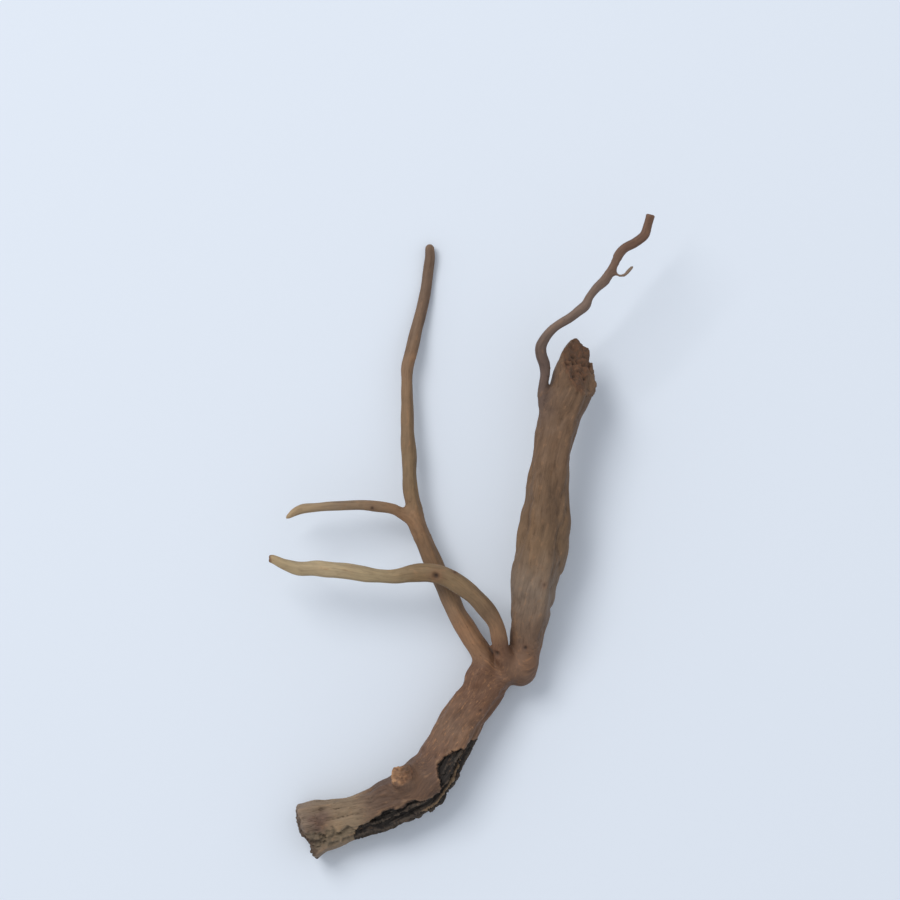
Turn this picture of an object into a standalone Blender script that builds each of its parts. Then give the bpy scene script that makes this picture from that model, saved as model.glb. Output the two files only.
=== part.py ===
"""A spiderwood root, about 144 x 243 x 36 mm, lying as it rests on a table.

It is one grown piece, so it is one solid: a thick stock with a torn foot, a burl at its other end
that it rests on, and the arms that spread from there. The grain side that faces up here is the one
that shows best. The origin is under the middle of the root, at the surface that it lies on.
"""

import math

import bmesh
import bpy
import numpy as np
from mathutils import Vector, noise

MM = 0.001
MIDDLE = (0.4, -0.7)  # mm, where the middle of the finished root lies in the stations' own x and y
STATION_STEP = 0.7  # mm between two rings of a limb
RING_SIDES = 40
UNION_VOXEL = 0.55  # mm, the fineness at which the limbs grow into one body
FACES_WANTED = 10600

# A limb runs from where it is rooted to its tip. A station is x, y, z of the pith and the wood's
# radius there, in millimetres. Flute, crease and lump are the depth of the broad grooves and the
# narrow clefts along the limb and of the swellings on it, in radii; sides is about how many grooves
# go round. A torn end is a rounded one, dome radii long, that a slanted break cuts: start is where the
# break crosses the pith, in radii past the last station, slant how fast it falls back towards up
# and across, jag how far its splinters stand out, in radii, and jag_grain how fine they are, to
# the millimetre. Past a ledge, mm across, the break lies some mm further in.
STOCK = dict(
    name="stock", seed=3.0, flute=0.17, crease=0.10, lump=0.06, sides=5, flatness=0.93,
    head="torn", tip="round", dome=0.28, start=0.25, slant=(-0.06, 0.02), jag=0.17, jag_grain=0.28,
    ledge=(0.7, 1.9),
    stations=[
        (-57.5, -111.5, 8.5, 11.3), (-51.9, -109.6, 8.4, 10.5), (-43.2, -107.0, 9.3, 8.9),
        (-30.8, -103.2, 10.8, 8.5), (-18.2, -96.4, 12.0, 9.0), (-12.3, -91.8, 12.4, 9.6),
        (-7.7, -85.8, 12.7, 9.1), (0.3, -70.3, 12.6, 8.2), (8.4, -59.1, 12.0, 7.5),
        (14.3, -52.3, 11.6, 6.9), (21.2, -49.2, 12.6, 6.1), (24.7, -48.0, 13.6, 5.3),
    ],
)
BURL = dict(
    name="burl", seed=11.0, flute=0.12, crease=0, lump=0.06, sides=4, up=(0, 1, 0), tip="round",
    stations=[
        (21.4, -50.4, 3.6, 4.6), (21.8, -50.0, 7.6, 5.9), (22.4, -49.5, 11.4, 6.2),
        (23.0, -49.0, 14.4, 5.2),
    ],
)
LONG_ARM = dict(
    name="long_arm", seed=21.0, flute=0.13, crease=0.07, lump=0.08, sides=3, tip="round",
    stations=[
        (7.4, -54.6, 12.4, 6.3), (8.8, -46.0, 13.6, 4.2), (3.8, -37.0, 13.8, 3.7),
        (-1.1, -28.8, 13.4, 3.5), (-5.8, -18.4, 12.9, 3.4), (-9.6, -10.3, 12.5, 3.4),
        (-13.0, -3.0, 12.1, 3.3), (-16.4, 5.8, 11.6, 3.5), (-18.6, 17.5, 10.8, 2.8),
        (-19.3, 30.6, 9.6, 2.7),
        (-19.9, 43.8, 8.2, 2.5), (-20.1, 55.1, 7.0, 2.3), (-20.1, 63.4, 6.3, 2.5),
        (-18.4, 70.5, 5.6, 2.6), (-16.2, 79.5, 4.2, 2.2), (-13.9, 88.9, 2.8, 2.0),
        (-12.6, 97.2, 1.95, 2.1), (-11.5, 104.7, 2.4, 2.0), (-11.5, 108.8, 2.9, 1.8),
    ],
)
SIDE_ARM = dict(
    name="side_arm", seed=33.0, flute=0.10, crease=0.05, lump=0.09, sides=3, tip="point",
    stations=[
        (-15.8, 4.6, 11.4, 2.7), (-20.7, 7.7, 12.2, 2.5), (-24.4, 9.8, 13.2, 2.2),
        (-29.0, 10.9, 14.4, 2.0), (-36.8, 11.7, 16.4, 2.0), (-45.1, 11.5, 18.0, 1.8),
        (-52.6, 11.1, 19.0, 1.7), (-58.3, 10.5, 19.2, 1.8), (-62.0, 9.1, 18.8, 1.55),
        (-64.2, 7.7, 18.2, 1.0),
    ],
)
ARCHED_ARM = dict(
    name="arched_arm", seed=42.0, flute=0.12, crease=0.06, lump=0.08, sides=3, tip="torn",
    dome=0.45, start=0.20, slant=(0, 0), jag=0.75, jag_grain=0.55,
    stations=[
        (18.8, -49.4, 14.5, 4.2), (15.9, -43.4, 18.2, 3.5), (15.0, -38.2, 21.4, 3.1),
        (13.2, -32.1, 24.2, 3.2), (8.6, -25.4, 26.2, 3.4), (2.6, -20.1, 26.8, 3.4),
        (-4.1, -15.6, 26.4, 3.4), (-10.9, -13.7, 25.4, 3.5), (-18.4, -13.7, 24.4, 3.3),
        (-26.3, -14.9, 24.0, 2.5), (-35.3, -14.0, 24.4, 2.8), (-44.7, -12.4, 25.2, 2.95),
        (-52.6, -11.8, 25.6, 2.9), (-60.2, -12.0, 25.4, 2.7), (-65.8, -10.4, 24.8, 2.1),
        (-68.8, -9.0, 24.4, 1.75), (-71.3, -8.0, 24.1, 1.6),
    ],
)
THICK_ARM = dict(
    name="thick_arm", seed=57.0, flute=0.16, crease=0.10, lump=0.06, sides=4, flatness=0.9,
    tip="torn", dome=1.18, start=0.10, slant=(1.0, 1.0), jag=0.30, jag_grain=0.36,
    stations=[
        (22.6, -50.9, 11.6, 6.2), (24.1, -42.7, 13.0, 6.0), (25.2, -33.3, 14.6, 7.5),
        (26.7, -23.9, 16.2, 8.6), (29.0, -10.7, 18.2, 9.2), (31.6, 6.2, 20.0, 8.6),
        (33.1, 21.2, 21.0, 7.5), (34.6, 32.5, 21.4, 7.1), (36.8, 41.9, 21.4, 7.8),
        (39.9, 51.3, 21.0, 8.5), (42.8, 59.6, 20.6, 9.1), (45.0, 65.1, 20.6, 9.3),
    ],
)
WAVY_ARM = dict(
    name="wavy_arm", seed=68.0, flute=0.12, crease=0.05, lump=0.12, sides=3, tip="blunt",
    stations=[
        (33.8, 43.0, 22.0, 3.2), (31.4, 52.0, 25.0, 2.5), (31.3, 56.5, 26.4, 2.0),
        (31.7, 60.5, 27.6, 1.9), (31.3, 64.3, 28.6, 1.95), (30.1, 68.0, 29.5, 2.1),
        (30.1, 71.0, 30.2, 2.15), (31.8, 74.1, 30.8, 1.95), (34.3, 77.2, 31.4, 1.75),
        (37.1, 79.4, 31.8, 1.75), (40.8, 81.6, 32.2, 1.9), (43.9, 84.0, 32.5, 1.85),
        (46.8, 86.4, 32.7, 1.85), (48.1, 89.3, 33.0, 1.7), (50.6, 92.6, 33.3, 1.85),
        (53.9, 95.6, 33.6, 2.0), (55.9, 98.9, 33.9, 2.1), (57.6, 102.2, 34.1, 1.95),
        (59.3, 105.5, 33.9, 1.8), (61.5, 108.0, 33.6, 1.65), (65.4, 110.1, 33.1, 1.65),
        (68.7, 112.7, 32.8, 1.65), (70.0, 116.7, 32.8, 1.6), (70.8, 119.9, 33.1, 1.75),
    ],
)
TWIG = dict(
    name="twig", seed=74.0, flute=0, crease=0, lump=0.05, sides=2, tip="point",
    stations=[
        (56.4, 100.5, 34.0, 1.1), (57.8, 98.4, 34.2, 0.85), (59.4, 97.3, 34.5, 0.75),
        (61.6, 98.2, 35.0, 0.7), (63.7, 100.3, 35.6, 0.62),
    ],
)
SNAPPED_STUB = dict(
    name="snapped_stub", seed=83.0, flute=0.14, crease=0, lump=0.08, sides=4, tip="torn",
    dome=0.35, start=0.10, slant=(-0.2, 0.3), jag=0.50, jag_grain=0.45,
    stations=[
        (-15.7, -93.5, 14.0, 5.8), (-20.3, -90.8, 18.6, 5.2), (-22.1, -89.5, 21.0, 5.0),
    ],
)
NUB = dict(
    name="nub", seed=91.0, flute=0, crease=0, lump=0.1, sides=2, tip="point",
    stations=[
        (15.6, -43.5, 17.6, 1.9), (13.4, -42.0, 17.8, 1.3), (11.6, -41.4, 18.2, 0.9),
    ],
)
LIMBS = [
    STOCK, BURL, LONG_ARM, SIDE_ARM, ARCHED_ARM, THICK_ARM, WAVY_ARM, TWIG, SNAPPED_STUB, NUB,
]

# How an end closes: rings as shares of the radius, and how far each stands past the last station,
# in radii. At a torn end the second number is a share of its dome.
END_RINGS = {
    "round": [(0.93, 0.33), (0.77, 0.60), (0.53, 0.82), (0.27, 0.93), (0.0, 0.97)],
    "blunt": [(0.95, 0.16), (0.78, 0.27), (0.45, 0.30), (0.0, 0.28)],
    "point": [(0.85, 0.50), (0.60, 1.10), (0.32, 1.60), (0.0, 1.90)],
    "torn": [
        (0.99, 0.14), (0.95, 0.31), (0.88, 0.47), (0.78, 0.63), (0.65, 0.76), (0.50, 0.87),
        (0.34, 0.94), (0.17, 0.985), (0.0, 1.0),
    ],
}

# The rotten face on the stock: how far along the stock, in mm, against the angle from straight up
# at which the sound wood ends, in degrees. Below, a thin rim of sound wood closes it at ROT_LOWER.
ROT_EDGE = [
    (16, 80), (18, 46), (20, 28), (24, 17), (27, 14), (30, 4), (34, 11), (39, 17), (42, 20), (47, 35),
    (51, 42), (54, 14), (57.5, -11), (60.5, -7), (63, 3), (66.5, 28), (69, 57), (71, 76), (73, 95),
]
ROT_LOWER = 98
ROT_DEPTH = 3.0
ROT_RIBS = (38, 70)  # thin sheets of wood left standing in it, at these angles
CHIPS = [  # x, y, z, radius and depth of the hollows broken into the foot
    (-54.5, -114.6, 16.0, 5.0, 1.4), (-48.2, -114.4, 15.6, 5.0, 1.2), (-42.4, -112.6, 14.6, 4.2, 0.9),
]
FILLET_REACH = 3.2  # mm over which two limbs grow into each other
FILLET_PASSES = 16


def smooth_stations(limb):
    """The limb's stations, read every STATION_STEP from a smooth curve through them."""
    given = np.array(limb["stations"], float)
    before = 2 * given[0] - given[1]
    after = 2 * given[-1] - given[-2]
    knots = np.vstack([before, given, after])
    rows = []
    for a, b, c, d in zip(knots, knots[1:], knots[2:], knots[3:]):
        steps = max(2, round(np.linalg.norm((c - b)[:3]) / STATION_STEP))
        for k in range(steps):
            t = k / steps
            rows.append(
                0.5 * (2 * b + (c - a) * t + (2 * a - 5 * b + 4 * c - d) * t**2
                       + (3 * b - a - 3 * c + d) * t**3)
            )
    rows.append(given[-1])
    return np.array(rows)


def run_of(limb):
    """The limb's pith points, radii, distance along, and the directions ahead, up and across."""
    rows = smooth_stations(limb)
    points, radii = rows[:, :3], rows[:, 3]
    along = np.concatenate([[0], np.cumsum(np.linalg.norm(np.diff(points, axis=0), axis=1))])
    ahead = np.gradient(points, axis=0)
    ahead /= np.linalg.norm(ahead, axis=1)[:, None]
    up = np.array(limb.get("up", (0, 0, 1)), float)
    up = up - (ahead @ up)[:, None] * ahead
    up /= np.linalg.norm(up, axis=1)[:, None]
    return dict(
        points=points, radii=radii, along=along, ahead=ahead, up=up, across=np.cross(ahead, up)
    )


def girth(limb, along, angle):
    """The wood's radius over the station's radius: grooves that run along the limb, and lumps."""
    spread = 0.3 * limb["sides"]
    around = Vector((spread * math.cos(angle), spread * math.sin(angle), 0))
    groove = noise.noise(around + Vector((limb["seed"], 0, along / 34)))
    lump = noise.noise(0.6 * around + Vector((0, limb["seed"], along / 7)))
    cleft = noise.noise(1.5 * around + Vector((limb["seed"], 7, along / 19)))
    cleft = max(0.0, 1 - 6 * abs(cleft + 0.08))
    return 1 + 1.6 * (limb["flute"] * groove + limb["lump"] * lump) - limb["crease"] * cleft


def break_at(limb, radius, up, across):
    """How far past the last station a torn end's break lies, at a place across the limb."""
    spot = limb["jag_grain"] * Vector((up, across, 0))
    splinter = noise.noise(spot + Vector((0, 0, limb["seed"]))) + 0.4 * noise.noise(2.7 * spot)
    slant_up, slant_across = limb["slant"]
    ledge, step = limb.get("ledge", (0, 0))
    fallen = slant_up * up + slant_across * across + step * min(max(across - ledge, 0), 1)
    return (limb["start"] + limb["jag"] * splinter) * radius - fallen


def ring_points(limb, run, k, share=1.0, forward=0.0):
    """One ring round station k, or an end ring share of the radius wide and forward past the station."""
    radius = run["radii"][k]
    from_tip, from_head = run["along"][k] - run["along"][-1], -run["along"][k]
    points = []
    for side in range(RING_SIDES):
        angle = 2 * math.pi * side / RING_SIDES
        reach = share * radius * girth(limb, run["along"][k], angle)
        up, across = math.cos(angle) * reach * limb.get("flatness", 1.0), math.sin(angle) * reach
        out = forward
        if limb["tip"] == "torn":
            out = min(out, break_at(limb, run["radii"][-1], up, across) - from_tip)
        if limb.get("head") == "torn":
            out = max(out, from_head - break_at(limb, run["radii"][0], up, across))
        points.append(
            run["points"][k] + run["up"][k] * up + run["across"][k] * across + run["ahead"][k] * out
        )
    return points


def end_rings(limb, run, end):
    """The shares and the distances ahead of the rings that close the head or the tip."""
    kind = limb["tip"] if end == "tip" else limb.get("head", "round")
    radius = run["radii"][-1 if end == "tip" else 0]
    length = limb["dome"] * radius if kind == "torn" else radius
    return [(share, forward * length) for share, forward in END_RINGS[kind]]


def add_limb(bm, limb, run):
    """A closed tube of rings along the limb, with its two ends finished."""
    rings = [ring_points(limb, run, k) for k in range(len(run["points"]))]
    for share, forward in end_rings(limb, run, "tip"):
        rings.append(ring_points(limb, run, -1, share, forward))
    for share, forward in end_rings(limb, run, "head"):
        rings.insert(0, ring_points(limb, run, 0, share, -forward))
    loops = [[bm.verts.new(point) for point in ring] for ring in rings]
    for lower, upper in zip(loops, loops[1:]):
        for side in range(RING_SIDES):
            following = (side + 1) % RING_SIDES
            bm.faces.new((lower[following], lower[side], upper[side], upper[following]))


def mesh_of(name, bm):
    mesh = bpy.data.meshes.new(name)
    bm.to_mesh(mesh)
    bm.free()
    return mesh


def applied(obj):
    """A new mesh that is the object as its modifiers leave it."""
    graph = bpy.context.evaluated_depsgraph_get()
    return bpy.data.meshes.new_from_object(obj.evaluated_get(graph))


def grow_together(runs):
    """One closed body, in millimetres, of all the limbs, from a fine grid through their tubes."""
    bm = bmesh.new()
    for limb in LIMBS:
        add_limb(bm, limb, runs[limb["name"]])
    bmesh.ops.remove_doubles(bm, verts=bm.verts, dist=1e-4)
    bmesh.ops.recalc_face_normals(bm, faces=bm.faces)
    tubes = bpy.data.objects.new("tubes", mesh_of("tubes", bm))
    bpy.context.scene.collection.objects.link(tubes)
    remesh = tubes.modifiers.new("union", "REMESH")
    remesh.mode = "VOXEL"
    remesh.voxel_size = UNION_VOXEL
    bpy.context.view_layer.update()
    body = applied(tubes)
    bpy.data.objects.remove(tubes)
    return body


def without_crumbs(mesh):
    """The mesh's largest connected body alone, as splinters at a torn end can come off as crumbs."""
    bm = bmesh.new()
    bm.from_mesh(mesh)
    left = set(bm.verts)
    bodies = []
    while left:
        front = [left.pop()]
        body = list(front)
        while front:
            near = {edge.other_vert(vert) for vert in front for edge in vert.link_edges} & left
            left -= near
            front = list(near)
            body += front
        bodies.append(body)
    bodies.sort(key=len)
    bmesh.ops.delete(bm, geom=[vert for body in bodies[:-1] for vert in body], context="VERTS")
    bm.to_mesh(mesh)
    bm.free()


def depths_below(points, run):
    """For each point: how far it lies outside the limb's plain radius, and the nearest station."""
    square = (points**2).sum(1)[:, None] + (run["points"] ** 2).sum(1) - 2 * points @ run["points"].T
    nearest = square.argmin(1)
    away = np.sqrt(np.maximum(square[np.arange(len(points)), nearest], 0))
    return away - run["radii"][nearest], nearest


def points_of(mesh):
    points = np.empty(len(mesh.vertices) * 3, np.float32)
    mesh.vertices.foreach_get("co", points)
    return points.reshape(-1, 3).astype(float)


def soften_joints(mesh, runs):
    """Where two limbs meet, the crease between them becomes a hollow curve, as wood grows there."""
    outside = np.array([depths_below(points_of(mesh), run)[0] for run in runs.values()])
    second = np.sort(outside, axis=0)[1]
    bm = bmesh.new()
    bm.from_mesh(mesh)
    bm.verts.ensure_lookup_table()
    for reach in (FILLET_REACH, 0.5 * FILLET_REACH):
        joint = [bm.verts[k] for k in np.flatnonzero(second < reach)]
        for _ in range(FILLET_PASSES):
            bmesh.ops.smooth_vert(
                bm, verts=joint, factor=0.5, use_axis_x=True, use_axis_y=True, use_axis_z=True
            )
    bm.to_mesh(mesh)
    bm.free()


def carve_rot(mesh, run):
    """Sinks the rotten face into the stock's flank, with a ragged edge and thin ribs left in it."""
    points = points_of(mesh)
    outside, station = depths_below(points, run)
    offset = points - run["points"][station]
    up = (offset * run["up"][station]).sum(1)
    across = (offset * run["across"][station]).sum(1)
    angle = np.degrees(np.arctan2(across, up))
    along = run["along"][station]
    edge = np.interp(along, [a for a, _ in ROT_EDGE], [b for _, b in ROT_EDGE])
    inward = -(run["up"][station] * up[:, None] + run["across"][station] * across[:, None])
    inward /= np.linalg.norm(inward, axis=1)[:, None]
    for k in np.flatnonzero((np.abs(outside) < 4) & (angle > edge - 14) & (angle < ROT_LOWER + 14)):
        if not ROT_EDGE[0][0] < along[k] < ROT_EDGE[-1][0]:
            continue
        here = Vector(points[k])
        ragged = 9 * noise.noise(here / 3.1) + 4 * noise.noise(here / 1.2)
        into = min(angle[k] - edge[k], ROT_LOWER - angle[k]) + ragged
        share = min(max(into / 9, 0.0), 1.0)
        flaky = 0.55 * noise.noise(here / 2.0) + 0.35 * noise.noise(here / 0.9)
        rib = max(math.exp(-(((angle[k] + 0.4 * ragged - at) / 3.2) ** 2)) for at in ROT_RIBS)
        points[k] += inward[k] * share * (ROT_DEPTH * (1 - 0.75 * rib) + flaky)
    mesh.vertices.foreach_set("co", points.astype(np.float32).ravel())
    mesh.update()


def knock_chips(mesh, run):
    """Breaks the rough hollows into the foot's upper side."""
    points = points_of(mesh)
    _, station = depths_below(points, run)
    for x, y, z, radius, depth in CHIPS:
        away = np.linalg.norm(points - (x, y, z), axis=1)
        for k in np.flatnonzero(away < 1.5 * radius):
            here = Vector(points[k])
            rim = away[k] / radius + 0.3 * noise.noise(here / 1.8)
            share = min(max((1 - rim) / 0.35, 0.0), 1.0)
            inward = run["points"][station[k]] - points[k]
            sink = depth * share * (1 + 0.6 * noise.noise(here / 1.1))
            points[k] += inward / np.linalg.norm(inward) * sink
    mesh.vertices.foreach_set("co", points.astype(np.float32).ravel())
    mesh.update()


def thinned(mesh):
    """The body with few enough faces, without losing its form."""
    body = bpy.data.objects.new("body", mesh)
    bpy.context.scene.collection.objects.link(body)
    thin = body.modifiers.new("thin", "DECIMATE")
    mesh.calc_loop_triangles()
    thin.ratio = FACES_WANTED / len(mesh.loop_triangles)
    thin.use_collapse_triangulate = True
    bpy.context.view_layer.update()
    result = applied(body)
    bpy.data.objects.remove(body)
    return result


def flatten_rests(mesh):
    """Cuts off what lies under the table's surface, which leaves the small worn flats it rests on."""
    bm = bmesh.new()
    bm.from_mesh(mesh)
    cut = bmesh.ops.bisect_plane(
        bm, geom=bm.verts[:] + bm.edges[:] + bm.faces[:], dist=1e-3,
        plane_co=(0, 0, 0), plane_no=(0, 0, 1), clear_inner=True,
    )
    rims = [item for item in cut["geom_cut"] if isinstance(item, bmesh.types.BMEdge)]
    bmesh.ops.holes_fill(bm, edges=rims, sides=0)
    bmesh.ops.triangulate(bm, faces=bm.faces)
    bmesh.ops.translate(bm, vec=(-MIDDLE[0], -MIDDLE[1], 0), verts=bm.verts)
    bmesh.ops.scale(bm, vec=(MM, MM, MM), verts=bm.verts)
    return mesh_of("spiderwood_root", bm)


def wood():
    material = bpy.data.materials.new("spiderwood")
    material.use_nodes = True
    shader = material.node_tree.nodes["Principled BSDF"]
    shader.inputs["Base Color"].default_value = (0.17, 0.107, 0.068, 1)
    shader.inputs["Roughness"].default_value = 0.62
    shader.inputs["Metallic"].default_value = 0
    return material


def main():
    for old in list(bpy.data.objects):
        bpy.data.objects.remove(old)
    runs = {limb["name"]: run_of(limb) for limb in LIMBS}
    body = grow_together(runs)
    without_crumbs(body)
    soften_joints(body, runs)
    carve_rot(body, runs["stock"])
    knock_chips(body, runs["stock"])
    root = bpy.data.objects.new("spiderwood_root", flatten_rests(thinned(body)))
    bpy.context.scene.collection.objects.link(root)
    root.data.materials.append(wood())
    root.data.shade_smooth()
    root.data.set_sharp_from_angle(angle=math.radians(50))


main()
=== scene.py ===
import math

import bmesh
import bpy
import numpy as np
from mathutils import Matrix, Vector, noise


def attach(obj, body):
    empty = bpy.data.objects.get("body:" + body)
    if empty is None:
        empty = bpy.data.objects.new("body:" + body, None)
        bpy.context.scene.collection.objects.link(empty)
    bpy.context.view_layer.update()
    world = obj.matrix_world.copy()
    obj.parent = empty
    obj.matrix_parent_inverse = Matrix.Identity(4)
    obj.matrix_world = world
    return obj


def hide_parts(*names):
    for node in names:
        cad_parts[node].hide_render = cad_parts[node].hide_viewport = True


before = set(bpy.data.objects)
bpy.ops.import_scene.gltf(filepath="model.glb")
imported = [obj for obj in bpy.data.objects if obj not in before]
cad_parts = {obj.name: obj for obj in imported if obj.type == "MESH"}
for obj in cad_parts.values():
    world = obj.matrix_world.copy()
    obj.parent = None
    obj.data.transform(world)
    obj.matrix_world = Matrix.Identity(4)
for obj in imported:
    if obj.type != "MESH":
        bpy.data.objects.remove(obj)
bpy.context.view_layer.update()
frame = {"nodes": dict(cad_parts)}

print("frame loaded:", ", ".join(frame["nodes"]))

mm = 0.001

# wood colours as the eye reads them, 0 to 255
palette = {
    "oldBrown": (112, 87, 70), "redBrown": (101, 76, 62), "rust": (101, 73, 56),
    "deepBrown": (86, 66, 54), "amberBrown": (116, 90, 66), "deepOlive": (105, 82, 63),
    "orangeBrown": (131, 100, 75), "orangeTan": (160, 116, 80), "midBrown": (125, 100, 77),
    "duskBrown": (106, 86, 71), "oliveBrown": (110, 88, 67), "oliveTan": (118, 98, 73),
    "strawTan": (150, 133, 104), "paleStraw": (168, 150, 120), "sandTan": (156, 135, 106),
    "greyTan": (131, 113, 92), "greyBrown": (119, 103, 89), "wavyBrown": (108, 91, 81),
    "duskGrey": (94, 78, 71), "wornOlive": (98, 88, 72), "wine": (88, 66, 60),
    "darkBrown": (76, 60, 49), "umber": (54, 41, 33), "charred": (42, 38, 36),
    "charredGrey": (70, 65, 60), "rimTan": (140, 116, 90), "tornPink": (168, 129, 96),
    "tornRed": (108, 76, 56), "tornBrown": (86, 65, 50), "tornGrey": (92, 79, 68),
}

# the root grows in millimetres, in the stations' own x and y, and is centred on the frame at the end
growth = {
    "middle": (0.4, -0.7),  # where the middle of the finished root lies
    "stationStep": 0.7,
    "ringSides": 48,
    "voxel": 0.45,
    "filletReach": 3.2,  # over which two limbs grow into each other
    "filletPasses": 24,
    "grainReach": 1.7,  # over which the grain of one limb turns into another's
    "twist": 0.010,  # radians the grain winds in a millimetre
    "tearSearch": 2.5,  # radii from its last station within which a torn end is looked for
    "tearReach": 2.8,  # mm short of the break at which the wood starts to look torn
    "tearFade": 3,  # mm over which an old, worn stretch of a break gives way to a torn one
    "fresh": (-18.5, -26.5),  # x from which the snapped stub's splinters are paler, and palest
    "reliefPasses": 2,  # how evenly the relief stands off the limbs
    "tonePasses": 3,
    "hollowPasses": 14,  # how broad a hollow counts as one
    "triangles": 196000,
}

# how an end closes: rings as shares of the radius, and how far each stands past the last station,
# in radii, or at a torn end as a share of its dome
endRings = {
    "round": [(0.93, 0.33), (0.77, 0.60), (0.53, 0.82), (0.27, 0.93), (0.0, 0.97)],
    "blunt": [(0.95, 0.16), (0.78, 0.27), (0.45, 0.30), (0.0, 0.28)],
    "point": [(0.85, 0.50), (0.60, 1.10), (0.32, 1.60), (0.0, 1.90)],
    "torn": [
        (0.99, 0.14), (0.95, 0.31), (0.88, 0.47), (0.78, 0.63), (0.65, 0.76), (0.50, 0.87),
        (0.34, 0.94), (0.17, 0.985), (0.0, 1.0),
    ],
}


def linearColour(name):
    shares = np.array(palette[name]) / 255
    return np.where(shares < 0.04045, shares / 12.92, ((shares + 0.055) / 1.055) ** 2.4)


def smoothStep(low, high, values):
    share = np.clip((values - low) / (high - low), 0, 1)
    return share * share * (3 - 2 * share)


# the limb's stations, read every stationStep from a smooth curve through them
def smoothStations(limb):
    given = np.array(limb["stations"], float)
    knots = np.vstack([2 * given[0] - given[1], given, 2 * given[-1] - given[-2]])
    rows = []
    for a, b, c, d in zip(knots, knots[1:], knots[2:], knots[3:]):
        steps = max(2, round(np.linalg.norm((c - b)[:3]) / growth["stationStep"]))
        for k in range(steps):
            t = k / steps
            rows.append(
                0.5 * (2 * b + (c - a) * t + (2 * a - 5 * b + 4 * c - d) * t**2
                       + (3 * b - a - 3 * c + d) * t**3)
            )
    rows.append(given[-1])
    return np.array(rows)


# pith points, radii, distance along, and the directions ahead, up and across
def runOf(limb):
    rows = smoothStations(limb)
    points = rows[:, :3]
    along = np.concatenate([[0], np.cumsum(np.linalg.norm(np.diff(points, axis=0), axis=1))])
    ahead = np.gradient(points, axis=0)
    ahead /= np.linalg.norm(ahead, axis=1)[:, None]
    up = np.array(limb.get("up", (0, 0, 1)), float)
    up = up - (ahead @ up)[:, None] * ahead
    up /= np.linalg.norm(up, axis=1)[:, None]
    return {
        "points": points, "radii": rows[:, 3], "along": along,
        "ahead": ahead, "up": up, "across": np.cross(ahead, up),
    }


# the grooves, lumps and clefts of every limb: how long they run, in mm, and how closely they stand
# round it
fluting = {
    "spread": 0.3,
    "strength": 1.6,
    "grooveLength": 34,
    "lumpLength": 7,
    "lumpSpread": 0.6,
    "cleftLength": 19,
    "cleftSpread": 1.5,
    "cleftShift": 7,
    "cleftLevel": -0.08,
    "cleftSharpness": 6,
}


# the wood's radius over the station's: grooves that run along the limb, clefts and lumps
def girth(limb, along, angle):
    seed = limb["seed"]
    spread = fluting["spread"] * limb["sides"]
    around = Vector((spread * math.cos(angle), spread * math.sin(angle), 0))
    groove = noise.noise(around + Vector((seed, 0, along / fluting["grooveLength"])))
    lump = noise.noise(fluting["lumpSpread"] * around + Vector((0, seed, along / fluting["lumpLength"])))
    cleft = noise.noise(
        fluting["cleftSpread"] * around
        + Vector((seed, fluting["cleftShift"], along / fluting["cleftLength"]))
    )
    cleft = max(0.0, 1 - fluting["cleftSharpness"] * abs(cleft - fluting["cleftLevel"]))
    swell = fluting["strength"] * (limb["flute"] * groove + limb["lump"] * lump)
    return 1 + swell - limb["crease"] * cleft


# how far past the last station a torn end's break lies, at a place across the limb
def breakAt(limb, radius, up, across):
    spot = limb["jagGrain"] * Vector((up, across, 0))
    splinter = noise.noise(spot + Vector((0, 0, limb["seed"]))) + 0.4 * noise.noise(2.7 * spot)
    slantUp, slantAcross = limb["slant"]
    ledge, step = limb.get("ledge", (0, 0))
    fallen = slantUp * up + slantAcross * across + step * min(max(across - ledge, 0), 1)
    return (limb["start"] + limb["jag"] * splinter) * radius - fallen


def placeRing(ring, turn, limb, run, k, share=1.0, forward=0.0):
    fromTip, fromHead = run["along"][k] - run["along"][-1], -run["along"][k]
    for vert in ring:
        angle = vert[turn]
        reach = share * run["radii"][k] * girth(limb, run["along"][k], angle)
        up = math.cos(angle) * reach * limb.get("flatness", 1.0)
        across = math.sin(angle) * reach
        out = forward
        if limb["tip"] == "torn":
            out = min(out, breakAt(limb, run["radii"][-1], up, across) - fromTip)
        if limb.get("head") == "torn":
            out = max(out, fromHead - breakAt(limb, run["radii"][0], up, across))
        vert.co = (
            run["points"][k] + run["up"][k] * up + run["across"][k] * across + run["ahead"][k] * out
        )


# shares and distances ahead of the rings that close an end
def closingRings(limb, run, kind, station):
    radius = run["radii"][station]
    length = limb["dome"] * radius if kind == "torn" else radius
    return [(station, share, ahead * length) for share, ahead in endRings[kind]]


# a disc drawn out ring by ring along the limb
def growLimb(bm, limb):
    run = runOf(limb)
    head = closingRings(limb, run, limb.get("head", "round"), 0)
    rings = [(k, share, -ahead) for k, share, ahead in reversed(head)]
    rings += [(k,) for k in range(len(run["points"]))]
    rings += closingRings(limb, run, limb["tip"], -1)
    turn = bm.verts.layers.float.get("turn") or bm.verts.layers.float.new("turn")
    disc = bmesh.ops.create_circle(bm, cap_ends=True, segments=growth["ringSides"], radius=1)["verts"]
    for vert in disc:
        vert[turn] = math.atan2(vert.co.y, vert.co.x)
    front = disc[0].link_faces[0]
    placeRing(front.verts, turn, limb, run, *rings[0])
    for ring in rings[1:]:
        front = bmesh.ops.extrude_discrete_faces(bm, faces=[front])["faces"][0]
        placeRing(front.verts, turn, limb, run, *ring)
    run["limb"] = limb
    if "growsFrom" in limb:
        parent = runs[limb["growsFrom"]]
        nearest = ((parent["points"] - run["points"][0]) ** 2).sum(1).argmin()
        run["grainFrom"] = parent["grainFrom"] + parent["along"][nearest]
    else:
        run["grainFrom"] = 0.0
    runs[limb["name"]] = run
    print("grown:", limb["name"], round(run["along"][-1]), "mm")


tubes = bmesh.new()
runs = {}

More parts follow.
